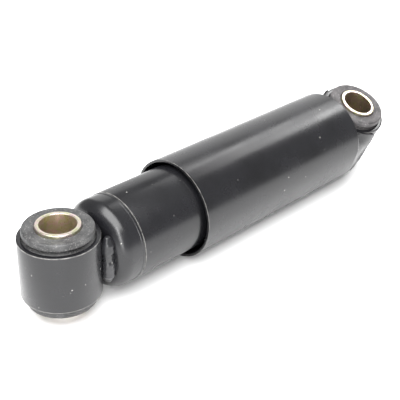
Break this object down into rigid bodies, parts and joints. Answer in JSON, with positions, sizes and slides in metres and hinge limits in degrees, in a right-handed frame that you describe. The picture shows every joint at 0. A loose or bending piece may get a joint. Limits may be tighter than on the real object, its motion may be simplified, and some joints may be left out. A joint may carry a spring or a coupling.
{
  "type": "shock absorber",
  "caption": "Twin-tube telescopic shock absorber with a rubber-bushed eye at either end and a sheet-steel dust cover.",
  "frame": {"origin": "centre of the lower eye: on the lower bolt axis, halfway along the lower sleeve", "axes": "+X along the damper from the lower eye to the upper eye; +Z along the lower bolt axis; the upper bolt axis is turned 24.75 degrees about +X from +Z"},
  "size_m": [0.3551, 0.0748, 0.0738],
  "materials": {
    "black_enamel": "semi-gloss black enamel",
    "bush_rubber": "moulded matte",
    "yellow_zinc": "yellow passivated zinc plating",
    "sintered_steel": "sintered, matte",
    "spring_steel": "rolled strip",
    "plain_steel": "drawn or turned",
    "bronze_bush": "bronze with a dry-running lining",
    "hard_chrome": "ground and hard chromed",
    "band_plastic": "filled PTFE",
    "seal_rubber": "moulded"
  },
  "bodies": {
    "lower_sleeve": {"lower_eye_sleeve": "yellow_zinc"},
    "barrel": {"lower_eye_ring": "black_enamel", "lower_bush": "bush_rubber", "lower_eye_weld": "black_enamel", "base_cap": "black_enamel", "reservoir_tube": "black_enamel", "base_valve_body": "sintered_steel", "base_valve_discs": "spring_steel", "base_valve_bolt": "plain_steel", "base_valve_spring": "spring_steel", "pressure_tube": "plain_steel", "rod_guide": "sintered_steel", "rod_guide_bush": "bronze_bush", "guide_seal_ring": "seal_rubber", "rod_seal": "seal_rubber", "seal_spring": "spring_steel", "closing_plate": "plain_steel", "rod_wiper": "seal_rubber"},
    "base_check": {"base_intake_plate": "spring_steel"},
    "band": {"piston_band": "band_plastic"},
    "rod": {"piston_rod": "hard_chrome", "piston": "sintered_steel", "rebound_discs": "spring_steel", "piston_nut": "plain_steel", "piston_valve_spring": "spring_steel", "piston_stop_washer": "plain_steel", "rebound_stop": "plain_steel", "rebound_bumper": "seal_rubber", "mount_plate": "black_enamel", "rod_weld": "black_enamel", "dust_cover": "black_enamel", "finger_welds": "black_enamel", "upper_eye_weld": "black_enamel", "upper_eye_ring": "black_enamel", "upper_bush": "bush_rubber"},
    "piston_check": {"piston_intake_plate": "spring_steel"},
    "upper_sleeve": {"upper_eye_sleeve": "yellow_zinc"}
  },
  "joints": [
    {"name": "lower_bush_twist", "type": "hinge", "parent": "lower_sleeve", "child": "barrel", "pos_m": [0, 0, 0], "axis": [0, 0, 1], "range_deg": [-15, 15], "stiffness_Nm_per_rad": 120},
    {"name": "rod_slide", "type": "slide", "parent": "barrel", "child": "band", "axis": [1, 0, 0], "range_m": [-0.015, 0.11]},
    {"name": "rod_spin", "type": "hinge", "parent": "band", "child": "rod", "pos_m": [0, 0, 0], "axis": [1, 0, 0], "continuous": true},
    {"name": "upper_bush_twist", "type": "hinge", "parent": "rod", "child": "upper_sleeve", "pos_m": [0.3018, 0, 0], "axis": [0, -0.4187, 0.9081], "range_deg": [-15, 15], "stiffness_Nm_per_rad": 120},
    {"name": "base_check_lift", "type": "slide", "parent": "barrel", "child": "base_check", "axis": [1, 0, 0], "range_m": [0, 0.0012], "stiffness_N_per_m": 300, "springref_m": -0.002, "deforming": ["base_valve_spring"]},
    {"name": "piston_check_lift", "type": "slide", "parent": "rod", "child": "piston_check", "axis": [1, 0, 0], "range_m": [0, 0.0012], "stiffness_N_per_m": 300, "springref_m": -0.002, "deforming": ["piston_valve_spring"]}
  ]
}
